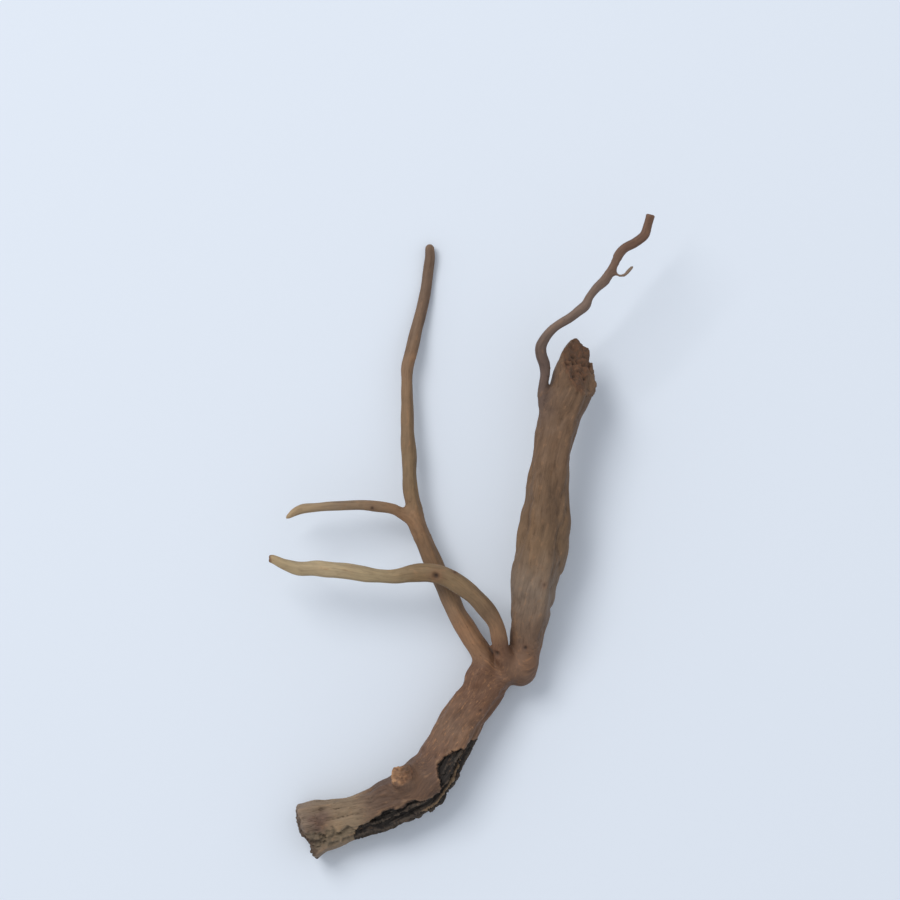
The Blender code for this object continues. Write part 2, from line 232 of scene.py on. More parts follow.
# tones and flecks: how far along the limb, in mm, against a colour or a share
stock = {
    "name": "stock", "seed": 3.0, "flute": 0.17, "crease": 0.10, "lump": 0.06, "sides": 5,
    "flatness": 0.93, "head": "torn", "tip": "round",
    "dome": 0.28, "start": 0.25, "slant": (-0.06, 0.02), "jag": 0.17, "jagGrain": 0.28,
    "ledge": (0.7, 1.9),
    "tones": [
        (0, "greyBrown"), (10, "greyTan"), (20, "greyTan"), (26, "duskBrown"), (32, "deepBrown"),
        (50, "deepBrown"), (60, "redBrown"), (72, "oldBrown"), (84, "rust"), (98, "rust"),
    ],
    "flecks": [(0, 0.1), (30, 0.15), (50, 0.4), (66, 1.0), (92, 0.9), (106, 0.6)],
    "cracks": [(0, 0.75), (22, 0.6), (40, 0.35), (60, 0.22), (105, 0.25)],
    "stations": [
        (-57.5, -111.5, 8.5, 11.3), (-51.9, -109.6, 8.4, 10.5), (-43.2, -107.0, 9.3, 8.9),
        (-30.8, -103.2, 10.8, 8.5), (-18.2, -96.4, 12.0, 9.0), (-12.3, -91.8, 12.4, 9.6),
        (-7.7, -85.8, 12.7, 9.1), (0.3, -70.3, 12.6, 8.2), (8.4, -59.1, 12.0, 7.5),
        (14.3, -52.3, 11.6, 6.9), (21.2, -49.2, 12.6, 6.1), (24.7, -48.0, 13.6, 5.3),
    ],
}
growLimb(tubes, stock)

burl = {
    "name": "burl", "growsFrom": "stock", "seed": 11.0, "flute": 0.12, "crease": 0, "lump": 0.06,
    "sides": 4, "up": (0, 1, 0), "tip": "round",
    "tones": [(0, "duskBrown"), (12, "oldBrown")],
    "flecks": [(0, 0.5)],
    "cracks": [(0, 0.3)],
    "stations": [
        (21.4, -50.4, 3.6, 4.6), (21.8, -50.0, 7.6, 5.9), (22.4, -49.5, 11.4, 6.2),
        (23.0, -49.0, 14.4, 5.2),
    ],
}
growLimb(tubes, burl)

longArm = {
    "name": "longArm", "growsFrom": "stock", "seed": 21.0, "flute": 0.13, "crease": 0.07,
    "lump": 0.08, "sides": 3, "tip": "round",
    "tones": [
        (0, "rust"), (6, "rust"), (12, "orangeBrown"), (22, "orangeBrown"), (32, "midBrown"),
        (42, "oliveBrown"), (62, "amberBrown"), (85, "oliveTan"), (120, "midBrown"), (150, "duskBrown"),
    ],
    "flecks": [(0, 0.6), (40, 0.25), (62, 0.35), (100, 0.15), (165, 0.05)],
    "cracks": [(0, 0.25), (60, 0.12)],
    "stations": [
        (7.4, -54.6, 12.4, 6.3), (8.8, -46.0, 13.6, 4.2), (3.8, -37.0, 13.8, 3.7),
        (-1.1, -28.8, 13.4, 3.5), (-5.8, -18.4, 12.9, 3.4), (-9.6, -10.3, 12.5, 3.4),
        (-13.0, -3.0, 12.1, 3.3), (-16.4, 5.8, 11.6, 3.5), (-18.6, 17.5, 10.8, 2.8),
        (-19.3, 30.6, 9.6, 2.7),
        (-19.9, 43.8, 8.2, 2.5), (-20.1, 55.1, 7.0, 2.3), (-20.1, 63.4, 6.3, 2.5),
        (-18.4, 70.5, 5.6, 2.6), (-16.2, 79.5, 4.2, 2.2), (-13.9, 88.9, 2.8, 2.0),
        (-12.6, 97.2, 1.95, 2.1), (-11.5, 104.7, 2.4, 2.0), (-11.5, 108.8, 2.9, 1.8),
    ],
}
growLimb(tubes, longArm)

sideArm = {
    "name": "sideArm", "growsFrom": "longArm", "seed": 33.0, "flute": 0.10, "crease": 0.05,
    "lump": 0.09, "sides": 3, "tip": "point",
    "tones": [(0, "orangeBrown"), (14, "midBrown"), (34, "greyTan"), (48, "sandTan")],
    "flecks": [(0, 0.2), (50, 0.1)],
    "cracks": [(0, 0.12)],
    "stations": [
        (-15.8, 4.6, 11.4, 2.7), (-20.7, 7.7, 12.2, 2.5), (-24.4, 9.8, 13.2, 2.2),
        (-29.0, 10.9, 14.4, 2.0), (-36.8, 11.7, 16.4, 2.0), (-45.1, 11.5, 18.0, 1.8),
        (-52.6, 11.1, 19.0, 1.7), (-58.3, 10.5, 19.2, 1.8), (-62.0, 9.1, 18.8, 1.55),
        (-64.2, 7.7, 18.2, 1.0),
    ],
}
growLimb(tubes, sideArm)

archedArm = {
    "name": "archedArm", "growsFrom": "stock", "seed": 42.0, "flute": 0.12, "crease": 0.06,
    "lump": 0.08, "sides": 3, "tip": "torn",
    "dome": 0.45, "start": 0.20, "slant": (0, 0), "jag": 0.75, "jagGrain": 0.55,
    "tones": [
        (0, "oldBrown"), (6, "rust"), (11, "rust"), (17, "orangeBrown"), (26, "oliveBrown"),
        (42, "oliveTan"), (58, "oliveTan"), (74, "strawTan"), (94, "paleStraw"), (108, "strawTan"),
        (120, "sandTan"),
    ],
    "flecks": [(0, 0.3), (30, 0.06), (118, 0)],
    "cracks": [(0, 0.15), (100, 0.1)],
    "stations": [
        (18.8, -49.4, 14.5, 4.2), (15.9, -43.4, 18.2, 3.5), (15.0, -38.2, 21.4, 3.1),
        (13.2, -32.1, 24.2, 3.2), (8.6, -25.4, 26.2, 3.4), (2.6, -20.1, 26.8, 3.4),
        (-4.1, -15.6, 26.4, 3.4), (-10.9, -13.7, 25.4, 3.5), (-18.4, -13.7, 24.4, 3.3),
        (-26.3, -14.9, 24.0, 2.5), (-35.3, -14.0, 24.4, 2.8), (-44.7, -12.4, 25.2, 2.95),
        (-52.6, -11.8, 25.6, 2.9), (-60.2, -12.0, 25.4, 2.7), (-65.8, -10.4, 24.8, 2.1),
        (-68.8, -9.0, 24.4, 1.75), (-71.3, -8.0, 24.1, 1.6),
    ],
}
growLimb(tubes, archedArm)

thickArm = {
    "name": "thickArm", "growsFrom": "stock", "seed": 57.0, "flute": 0.16, "crease": 0.10,
    "lump": 0.06, "sides": 4, "flatness": 0.9, "tip": "torn",
    "dome": 1.18, "start": 0.10, "slant": (1.0, 1.0), "jag": 0.30, "jagGrain": 0.36,
    "tornTo": 3.5,  # mm across; past it the break is old and worn smooth
    "tones": [
        (0, "oldBrown"), (18, "duskBrown"), (32, "greyBrown"), (50, "oliveBrown"),
        (84, "deepOlive"), (122, "deepOlive"),
    ],
    "flecks": [(0, 0.5), (30, 0.15), (90, 0.12), (118, 0.3)],
    "cracks": [(0, 0.3), (60, 0.25), (120, 0.35)],
    "stations": [
        (22.6, -50.9, 11.6, 6.2), (24.1, -42.7, 13.0, 6.0), (25.2, -33.3, 14.6, 7.5),
        (26.7, -23.9, 16.2, 8.6), (29.0, -10.7, 18.2, 9.2), (31.6, 6.2, 20.0, 8.6),
        (33.1, 21.2, 21.0, 7.5), (34.6, 32.5, 21.4, 7.1), (36.8, 41.9, 21.4, 7.8),
        (39.9, 51.3, 21.0, 8.5), (42.8, 59.6, 20.6, 9.1), (45.0, 65.1, 20.6, 9.3),
    ],
}
growLimb(tubes, thickArm)

wavyArm = {
    "name": "wavyArm", "growsFrom": "thickArm", "seed": 68.0, "flute": 0.12, "crease": 0.05,
    "lump": 0.12, "sides": 3, "tip": "blunt",
    "tones": [(0, "duskGrey"), (24, "duskGrey"), (42, "wavyBrown"), (62, "wavyBrown"), (80, "redBrown")],
    "flecks": [(0, 0.1)],
    "cracks": [(0, 0.2)],
    "stations": [
        (33.8, 43.0, 22.0, 3.2), (31.4, 52.0, 25.0, 2.5), (31.3, 56.5, 26.4, 2.0),
        (31.7, 60.5, 27.6, 1.9), (31.3, 64.3, 28.6, 1.95), (30.1, 68.0, 29.5, 2.1),
        (30.1, 71.0, 30.2, 2.15), (31.8, 74.1, 30.8, 1.95), (34.3, 77.2, 31.4, 1.75),
        (37.1, 79.4, 31.8, 1.75), (40.8, 81.6, 32.2, 1.9), (43.9, 84.0, 32.5, 1.85),
        (46.8, 86.4, 32.7, 1.85), (48.1, 89.3, 33.0, 1.7), (50.6, 92.6, 33.3, 1.85),
        (53.9, 95.6, 33.6, 2.0), (55.9, 98.9, 33.9, 2.1), (57.6, 102.2, 34.1, 1.95),
        (59.3, 105.5, 33.9, 1.8), (61.5, 108.0, 33.6, 1.65), (65.4, 110.1, 33.1, 1.65),
        (68.7, 112.7, 32.8, 1.65), (70.0, 116.7, 32.8, 1.6), (70.8, 119.9, 33.1, 1.75),
    ],
}
growLimb(tubes, wavyArm)

twig = {
    "name": "twig", "growsFrom": "wavyArm", "seed": 74.0, "flute": 0, "crease": 0, "lump": 0.05,
    "sides": 2, "tip": "point",
    "tones": [(0, "redBrown"), (8, "greyBrown")],
    "flecks": [(0, 0)],
    "cracks": [(0, 0)],
    "stations": [
        (56.4, 100.5, 34.0, 1.1), (57.8, 98.4, 34.2, 0.85), (59.4, 97.3, 34.5, 0.75),
        (61.6, 98.2, 35.0, 0.7), (63.7, 100.3, 35.6, 0.62),
    ],
}
growLimb(tubes, twig)

snappedStub = {
    "name": "snappedStub", "growsFrom": "stock", "seed": 83.0, "flute": 0.14, "crease": 0,
    "lump": 0.08, "sides": 4, "tip": "torn",
    "dome": 0.35, "start": 0.10, "slant": (-0.2, 0.3), "jag": 0.50, "jagGrain": 0.45,
    "tones": [(0, "redBrown"), (6, "oldBrown")],
    "flecks": [(0, 0.2)],
    "cracks": [(0, 0.3)],
    "stations": [
        (-15.7, -93.5, 14.0, 5.8), (-20.3, -90.8, 18.6, 5.2), (-22.1, -89.5, 21.0, 5.0),
    ],
}
growLimb(tubes, snappedStub)

nub = {
    "name": "nub", "growsFrom": "archedArm", "seed": 91.0, "flute": 0, "crease": 0, "lump": 0.1,
    "sides": 2, "tip": "point",
    "tones": [(0, "rust")],
    "flecks": [(0, 0)],
    "cracks": [(0, 0)],
    "stations": [
        (15.6, -43.5, 17.6, 1.9), (13.4, -42.0, 17.8, 1.3), (11.6, -41.4, 18.2, 0.9),
    ],
}
growLimb(tubes, nub)


# the object as its modifiers leave it
def applied(obj):
    mesh = bpy.data.meshes.new_from_object(obj.evaluated_get(bpy.context.evaluated_depsgraph_get()))
    bpy.data.objects.remove(obj)
    return mesh


def growTogether():
    bmesh.ops.remove_doubles(tubes, verts=tubes.verts, dist=1e-4)
    bmesh.ops.recalc_face_normals(tubes, faces=tubes.faces)
    mesh = bpy.data.meshes.new("tubes")
    tubes.to_mesh(mesh)
    tubes.free()
    obj = bpy.data.objects.new("tubes", mesh)
    bpy.context.scene.collection.objects.link(obj)
    remesh = obj.modifiers.new("union", "REMESH")
    remesh.mode = "VOXEL"
    remesh.voxel_size = growth["voxel"]
    bpy.context.view_layer.update()
    return applied(obj)


# splinters at a torn end can come off as crumbs: the largest body alone stays
def dropCrumbs(bm):
    left = set(bm.verts)
    bodies = []
    while left:
        front = [left.pop()]
        body = list(front)
        while front:
            near = {edge.other_vert(vert) for vert in front for edge in vert.link_edges} & left
            left -= near
            front = list(near)
            body += front
        bodies.append(body)
    bodies.sort(key=len)
    bmesh.ops.delete(bm, geom=[vert for body in bodies[:-1] for vert in body], context="VERTS")


# where each point lies on one limb
def readLimb(points, run):
    station = np.empty(len(points), int)
    square = (run["points"] ** 2).sum(1)
    for start in range(0, len(points), 20000):
        part = slice(start, start + 20000)
        station[part] = (square - 2 * points[part] @ run["points"].T).argmin(1)
    offset = points - run["points"][station]
    return {
        "outside": np.linalg.norm(offset, axis=1) - run["radii"][station],
        "station": station,
        "up": (offset * run["up"][station]).sum(1),
        "across": (offset * run["across"][station]).sum(1),
        "along": run["along"][station] + (offset * run["ahead"][station]).sum(1),
        "radius": run["radii"][station],
    }


# where two limbs meet, the crease between them becomes a hollow curve, as wood grows there
def softenJoints(bm):
    points = np.array([vert.co[:] for vert in bm.verts])
    outside = np.array([readLimb(points, run)["outside"] for run in runs.values()])
    second = np.sort(outside, axis=0)[1]
    bm.verts.ensure_lookup_table()
    for reach in (growth["filletReach"], 0.5 * growth["filletReach"]):
        joint = [bm.verts[k] for k in np.flatnonzero(second < reach)]
        for _ in range(growth["filletPasses"]):
            bmesh.ops.smooth_vert(
                bm, verts=joint, factor=0.5, use_axis_x=True, use_axis_y=True, use_axis_z=True
            )


# smooth noise, about -1 to 1, at each place; the stretch is how fine it is each way, to the mm
def noiseAt(places, stretch, shift=0.0):
    return np.array([noise.noise(row) for row in (places * np.array(stretch) + shift).tolist()])


# unevenness in layers, each with its strength and how many mm its noise takes to turn
def uneven(points, layers):
    return sum(strength * noiseAt(points, 1 / length) for strength, length in layers)


# the rotten face on the stock: how far along, in mm, against the angle from straight up at which
# the sound wood ends, in degrees; a thin rim of sound wood closes it at the lower edge
rot = {
    "edge": [
        (16, 80), (18, 46), (20, 28), (24, 17), (27, 14), (30, 4), (34, 11), (39, 17), (42, 20),
        (47, 35), (51, 42), (54, 14), (57.5, -11), (60.5, -7), (63, 3), (66.5, 28), (69, 57),
        (71, 76), (73, 95),
    ],
    "lower": 98,
    "stain": 18,  # degrees that the dark runs on past it
    "lip": 2.5,  # degrees from the edge to the middle of the pale lip
    "depth": 3.0,
    "wall": 9,  # degrees over which it falls to its depth
    "ragged": [(9, 3.1), (4, 1.2)],  # degrees that its edge wanders, and over how many mm
    "flaky": [(0.55, 2.0), (0.35, 0.9)],  # mm that its floor varies, and over how many mm
    "ribs": (38, 70),  # degrees at which thin sheets of wood are left standing in it
    "ribWidth": 3.2,
    "ribHeight": 0.75,  # share of the depth
    "ribWander": 0.4,  # share of the edge's wandering
    "ribPaleAngle": (50, 60),  # degrees past which a rib's crest is pale, and palest
    "ribPaleAlong": (36, 44),  # the same in mm along
    "reach": 4,  # mm from the stock's plain radius
}


# sinks the rotten face into the stock's flank; returns the points, how rotten each is, the ribs
# that stand in it and the pale lip of sound wood round it
def carveRot(points):
    run = runs["stock"]
    here = readLimb(points, run)
    angle = np.degrees(np.arctan2(here["across"], here["up"]))
    along = run["along"][here["station"]]
    edge = np.interp(along, [a for a, _ in rot["edge"]], [b for _, b in rot["edge"]])
    inward = -(run["up"][here["station"]] * here["up"][:, None]
               + run["across"][here["station"]] * here["across"][:, None])
    inward /= np.linalg.norm(inward, axis=1)[:, None]
    ragged = uneven(points, rot["ragged"])
    into = np.minimum(angle - edge, rot["lower"] - angle) + ragged
    outside = np.abs(here["outside"]) > rot["reach"]
    outside |= (along <= rot["edge"][0][0]) | (along >= rot["edge"][-1][0])
    share = np.where(outside, 0, np.clip(into / rot["wall"], 0, 1))
    stained = np.minimum(angle - edge, rot["lower"] + rot["stain"] - angle) + ragged
    stained = np.where(outside, 0, np.clip(stained / rot["wall"], 0, 1))
    bent = angle + rot["ribWander"] * ragged
    rib = np.max([np.exp(-(((bent - at) / rot["ribWidth"]) ** 2)) for at in rot["ribs"]], 0)
    depth = share * (rot["depth"] * (1 - rot["ribHeight"] * rib) + uneven(points, rot["flaky"]))
    ribs = rib * share * smoothStep(*rot["ribPaleAngle"], angle) * smoothStep(*rot["ribPaleAlong"], along)
    lip = np.where(outside, 0, np.exp(-(((into + rot["lip"]) / rot["lip"]) ** 2)))
    return points + inward * depth[:, None], stained, ribs, lip


# rough hollows broken into the foot's upper side
chips = {
    "hollows": [
        {"at": (-54.5, -114.6, 16.0), "radius": 5.0, "depth": 1.4},
        {"at": (-48.2, -114.4, 15.6), "radius": 5.0, "depth": 1.2},
        {"at": (-42.4, -112.6, 14.6), "radius": 4.2, "depth": 0.9},
    ],
    "wall": 0.35,  # share of the radius over which one falls to its depth
    "ragged": [(0.3, 1.8)],  # share of the radius that the edge wanders, and over how many mm
    "rough": [(0.6, 1.1)],  # share of the depth that the floor varies, and over how many mm
}


def knockChips(points):
    run = runs["stock"]
    station = readLimb(points, run)["station"]
    chipped = np.zeros(len(points))
    for chip in chips["hollows"]:
        away = np.linalg.norm(points - chip["at"], axis=1) / chip["radius"]
        share = np.clip((1 - away - uneven(points, chips["ragged"])) / chips["wall"], 0, 1)
        inward = run["points"][station] - points
        inward /= np.linalg.norm(inward, axis=1)[:, None]
        sink = chip["depth"] * share * (1 + uneven(points, chips["rough"]))
        points = points + inward * sink[:, None]
        chipped = np.maximum(chipped, share)
    return points, chipped


# what the grain, tones and flecks are at each point, each limb's own run into its neighbours'
def readGrain(points):
    places = [readLimb(points, run) for run in runs.values()]
    outside = np.array([place["outside"] for place in places])
    weights = np.exp(-(outside - outside.min(0)) / growth["grainReach"])
    weights /= weights.sum(0)
    grain = np.zeros((len(points), 3))
    tone = np.zeros((len(points), 3))
    flecks = np.zeros(len(points))
    cracks = np.zeros(len(points))
    radius = np.zeros(len(points))
    for run, place, weight in zip(runs.values(), places, weights):
        along = place["along"] + run["grainFrom"]
        wind = growth["twist"] * along
        grain += weight[:, None] * np.stack([
            place["across"] * np.cos(wind) - place["up"] * np.sin(wind),
            place["across"] * np.sin(wind) + place["up"] * np.cos(wind),
            along,
        ], 1)
        marks = [at for at, _ in run["limb"]["tones"]]
        shades = np.array([linearColour(name) for _, name in run["limb"]["tones"]])
        for channel in range(3):
            tone[:, channel] += weight * np.interp(place["along"], marks, shades[:, channel])
        flecks += weight * np.interp(place["along"], *zip(*run["limb"]["flecks"]))
        cracks += weight * np.interp(place["along"], *zip(*run["limb"]["cracks"]))
        radius += weight * place["radius"]
    return {
        "grain": grain, "tone": tone, "flecks": flecks, "cracks": cracks, "radius": radius,
        "places": dict(zip(runs, places)), "weights": dict(zip(runs, weights)),
    }


# how much of a torn end each point is
def readTorn(points, wood):
    torn = {name: np.zeros(len(points)) for name in runs}
    for name, run in runs.items():
        limb, place = run["limb"], wood["places"][name]
        for end, side in ((0, -1), (-1, 1)):
            if limb.get("head" if side < 0 else "tip") != "torn":
                continue
            radius = run["radii"][end]
            out = side * ((points - run["points"][end]) @ run["ahead"][end])
            near = np.flatnonzero(np.abs(out) < growth["tearSearch"] * radius)
            edge = np.array([
                breakAt(limb, radius, place["up"][k], place["across"][k]) for k in near
            ])
            worn = limb.get("tornTo", 2 * radius)
            jagged = smoothStep(worn + growth["tearFade"], worn, place["across"][near])
            jagged *= smoothStep(-growth["tearReach"], 0, out[near] - edge)
            torn[name][near] += jagged * wood["weights"][name][near]
    return torn


# scars, pits, knots and gashes: where, and to where a long one runs, how wide and deep in mm, how
# high the rim, and what colour the rim
scars = [
    {"at": (7.9, -65.2, 20.1), "width": 0.8, "depth": 0.8, "rim": 0.10, "tone": "redBrown"},
    {"at": (-9.0, -14.5, 28.5), "width": 1.2, "depth": 0.9, "rim": 0.22, "tone": "tornRed"},
    {"at": (-1.9, -13.3, 27.6), "width": 0.6, "depth": 0.4, "rim": 0.12, "tone": "tornRed"},
    {"at": (24.4, -41.9, 19.0), "width": 0.8, "depth": 0.6, "rim": 0.12, "tone": "redBrown"},
    {"at": (13.9, -43.8, 20.4), "width": 1.3, "depth": 1.6, "rim": 0.15, "tone": "rust"},
    {"at": (-16.9, 67.3, 8.2), "width": 1.1, "depth": -0.4, "rim": 0.0, "tone": "orangeBrown"},
    {"at": (-56.8, -111.2, 18.4), "to": (-51.4, -109.8, 18.4), "width": 0.7, "depth": 1.0,
     "rim": 0.15, "tone": "darkBrown"},
    {"at": (-57.0, -115.2, 15.6), "to": (-51.6, -115.0, 15.6), "width": 0.7, "depth": 0.8,
     "rim": 0.10, "tone": "darkBrown"},
    {"at": (-51.6, -105.4, 17.4), "width": 1.7, "depth": 0.3, "rim": 0.05, "tone": "wine"},
    {"at": (-53.0, -107.9, 18.0), "width": 1.3, "depth": 0.3, "rim": 0.10, "tone": "wine"},
    {"at": (-56.2, -106.0, 17.8), "width": 0.8, "depth": 0.3, "rim": 0.05, "tone": "wine"},
    {"at": (31.6, -18.2, 26.0), "width": 0.8, "depth": 0.5, "rim": 0.14, "tone": "redBrown"},
    {"at": (36.2, 14.9, 12.0), "width": 1.6, "depth": 1.1, "rim": 0.30, "tone": "redBrown"},
    {"at": (23.2, 1.4, 14.6), "width": 1.2, "depth": 0.8, "rim": 0.22, "tone": "redBrown"},
    {"at": (-2.0, -78.0, 4.4), "width": 1.7, "depth": 1.2, "rim": 0.30, "tone": "darkBrown"},
    {"at": (-20.6, 36.2, 7.2), "width": 0.8, "depth": 0.5, "rim": 0.16, "tone": "redBrown"},
    {"at": (-48.9, -10.0, 23.4), "width": 0.7, "depth": 0.4, "rim": 0.14, "tone": "midBrown"},
    {"at": (-33.0, 10.6, 17.2), "width": 0.6, "depth": 0.4, "rim": 0.12, "tone": "redBrown"},
    {"at": (32.5, 78.3, 29.6), "width": 0.6, "depth": 0.4, "rim": 0.12, "tone": "redBrown"},
]

# the form of a scar, in its own widths
scarForm = {
    "rimAt": 1.5,
    "rimWidth": 0.55,
    "blush": 0.8,  # how far its colour covers the wood's
    "blushWidth": 2.1,
    "pitWidth": 0.9,
    # a deep scar's dark bottom is painted shade
    "pitFrom": 0.3,  # mm of depth past which its bottom is dark
}

# the wood's relief, in mm on a limb of fullRadius, how much of it a limb gets as its radius grows,
# and how fine each kind is to the mm; the narrow ones are lines, which a gate's noise lets show
relief = {
    "fullRadius": 8.0,
    "stoutness": (0.12, 1.1),
    "tornFrom": (0.55, 0.95),
    "furrowLeast": 0.4,
    "bulges": {"depth": 0.28, "grows": 0.6, "fine": (0.14, 0.14, 0.09), "shift": 0},
    "strands": {"depth": 0.22, "grows": 1, "fine": (0.34, 0.34, 0.022), "shift": 11},
    "fibres": {"depth": 0.08, "grows": 0.5, "fine": (0.95, 0.95, 0.07), "shift": 41},
    "furrows": {
        "depth": 0.22, "grows": 1, "fine": (0.40, 0.40, 0.018), "shift": 23, "narrow": 5.5,
        "gate": (-0.15, 0.25), "gateFine": (0.11, 0.11, 0.03), "gateShift": 5,
    },
    "splits": {
        "depth": 0.62, "grows": 0.6, "fine": (0.20, 0.20, 0.010), "shift": 37, "narrow": 15,
        "gate": (0.05, 0.30), "gateFine": (0.09, 0.09, 0.028), "gateShift": 61,
    },
    "rotLayers": {"depth": 0.55, "grows": 0, "fine": (0.75, 0.75, 0.07), "shift": 71, "narrow": 2.6},
    "rotCubes": {"depth": 0.45, "grows": 0, "fine": (0.42, 0.42, 0.36), "shift": 83, "narrow": 7},
    "shards": {"depth": 0.8, "grows": 0.5, "fine": (1.0, 0.22, 0.14), "shift": 97},
    "splinters": {"depth": 0.4, "grows": 0.5, "fine": (2.1, 0.462, 0.294), "shift": 19},
}


def swellOf(places, stout, kind):
    return kind["depth"] * stout ** kind["grows"] * noiseAt(places, kind["fine"], kind["shift"])


# lines where the noise passes through nought, as deep as the kind along their middle
def linesOf(places, stout, kind):
    lines = np.clip(1 - kind["narrow"] * np.abs(noiseAt(places, kind["fine"], kind["shift"])), 0, 1)
    if "gate" in kind:
        lines *= smoothStep(*kind["gate"], noiseAt(places, kind["gateFine"], kind["gateShift"]))
    return kind["depth"] * stout ** kind["grows"] * lines


def raiseRelief(points, normals, wood, rotten, torn):
    grain, cracks = wood["grain"], wood["cracks"]
    stout = np.clip(wood["radius"] / relief["fullRadius"], *relief["stoutness"])
    torn = smoothStep(*relief["tornFrom"], torn)

    height = swellOf(points, stout, relief["bulges"])
    height += swellOf(grain, stout, relief["strands"])
    height += swellOf(grain, stout, relief["fibres"])
    least = relief["furrowLeast"]
    height -= linesOf(grain, stout, relief["furrows"]) * (least + (1 - least) * cracks)
    height -= linesOf(grain, stout, relief["splits"]) * cracks
    height *= 1 - np.maximum(rotten, torn)

    layers = relief["rotLayers"]
    height += rotten * (layers["depth"] - layers["narrow"] * np.abs(swellOf(grain, stout, layers)))
    height -= rotten * linesOf(grain, stout, relief["rotCubes"])

    shards = swellOf(grain, stout, relief["shards"]) + swellOf(grain, stout, relief["splinters"])
    height += torn * (shards - 0.5 * np.abs(shards))  # the gaps among them are the deeper
    return points + normals * height[:, None]


def pressScars(points, normals, tone):
    pitShade = np.zeros(len(points))
    for scar in scars:
        start = np.array(scar["at"])
        reach = np.array(scar.get("to", scar["at"])) - start
        share = np.clip((points - start) @ reach / max(reach @ reach, 1e-9), 0, 1)
        away = np.linalg.norm(points - start - share[:, None] * reach, axis=1) / scar["width"]
        dish = np.exp(-(away**2))
        rim = np.exp(-(((away - scarForm["rimAt"]) / scarForm["rimWidth"]) ** 2))
        points = points + normals * (scar["rim"] * rim - scar["depth"] * dish)[:, None]
        blush = scarForm["blush"] * np.exp(-((away / scarForm["blushWidth"]) ** 2))[:, None]
        tone = tone * (1 - blush) + linearColour(scar["tone"]) * blush
        # painted shade in the bottoms of deep scars
        if scar["depth"] > scarForm["pitFrom"]:
            pitShade = np.maximum(pitShade, np.exp(-((away / scarForm["pitWidth"]) ** 2)))
    return points, tone, pitShade


# each point moved to the middle of its neighbours, some times over
def evened(values, edges, passes):
    count = np.bincount(edges.ravel(), minlength=len(values))[:, None]
    for _ in range(passes):
        total = np.stack([
            np.bincount(edges[:, 0], column[edges[:, 1]], len(values))
            + np.bincount(edges[:, 1], column[edges[:, 0]], len(values))
            for column in values.T
        ], 1)
        values = 0.5 * values + 0.5 * total / count
    return values


def placesAndEdges(mesh):
    points = np.empty(len(mesh.vertices) * 3, np.float32)
    mesh.vertices.foreach_get("co", points)
    edges = np.empty(len(mesh.edges) * 2, np.int32)
    mesh.edges.foreach_get("vertices", edges)
    return points.reshape(-1, 3).astype(float), edges.reshape(-1, 2)


def normalsOf(mesh):
    normals = np.empty(len(mesh.vertices) * 3, np.float32)
    mesh.vertex_normals.foreach_get("vector", normals)
    return normals.reshape(-1, 3).astype(float)


def setPlaces(mesh, points):
    mesh.vertices.foreach_set("co", points.astype(np.float32).ravel())
    mesh.update()


def addAttribute(mesh, name, kind, values):
    field = {"FLOAT": "value", "FLOAT_VECTOR": "vector", "FLOAT_COLOR": "color"}[kind]
    if kind == "FLOAT_COLOR":
        values = np.hstack([values, np.ones((len(values), 1))])
    layer = mesh.attributes.new(name, kind, "POINT")
    layer.data.foreach_set(field, np.ascontiguousarray(values, np.float32).ravel())


# cuts off what lies under the floor, which leaves the small worn flats the root rests on
def settle(mesh):
    bm = bmesh.new()
    bm.from_mesh(mesh)
    cut = bmesh.ops.bisect_plane(
        bm, geom=bm.verts[:] + bm.edges[:] + bm.faces[:], dist=1e-3,
        plane_co=(0, 0, 0), plane_no=(0, 0, 1), clear_inner=True,
    )
    rims = [item for item in cut["geom_cut"] if isinstance(item, bmesh.types.BMEdge)]
    bmesh.ops.holes_fill(bm, edges=rims, sides=0)
    bmesh.ops.triangulate(bm, faces=[face for face in bm.faces if len(face.verts) > 4])
    bmesh.ops.translate(bm, vec=(-growth["middle"][0], -growth["middle"][1], 0), verts=bm.verts)
    bmesh.ops.scale(bm, vec=(mm, mm, mm), verts=bm.verts)
    bm.to_mesh(mesh)
    bm.free()


# the mesh with fewer triangles, where they show least
def thinOut(mesh):
    whole = bpy.data.objects.new("whole", mesh)
    bpy.context.scene.collection.objects.link(whole)
    thin = whole.modifiers.new("thin", "DECIMATE")
    mesh.calc_loop_triangles()
    thin.ratio = growth["triangles"] / len(mesh.loop_triangles)
    bpy.context.view_layer.update()
    thinned = applied(whole)
    thinned.name = "rootWood"
    thinned.shade_smooth()
    thinned.calc_loop_triangles()
    return thinned


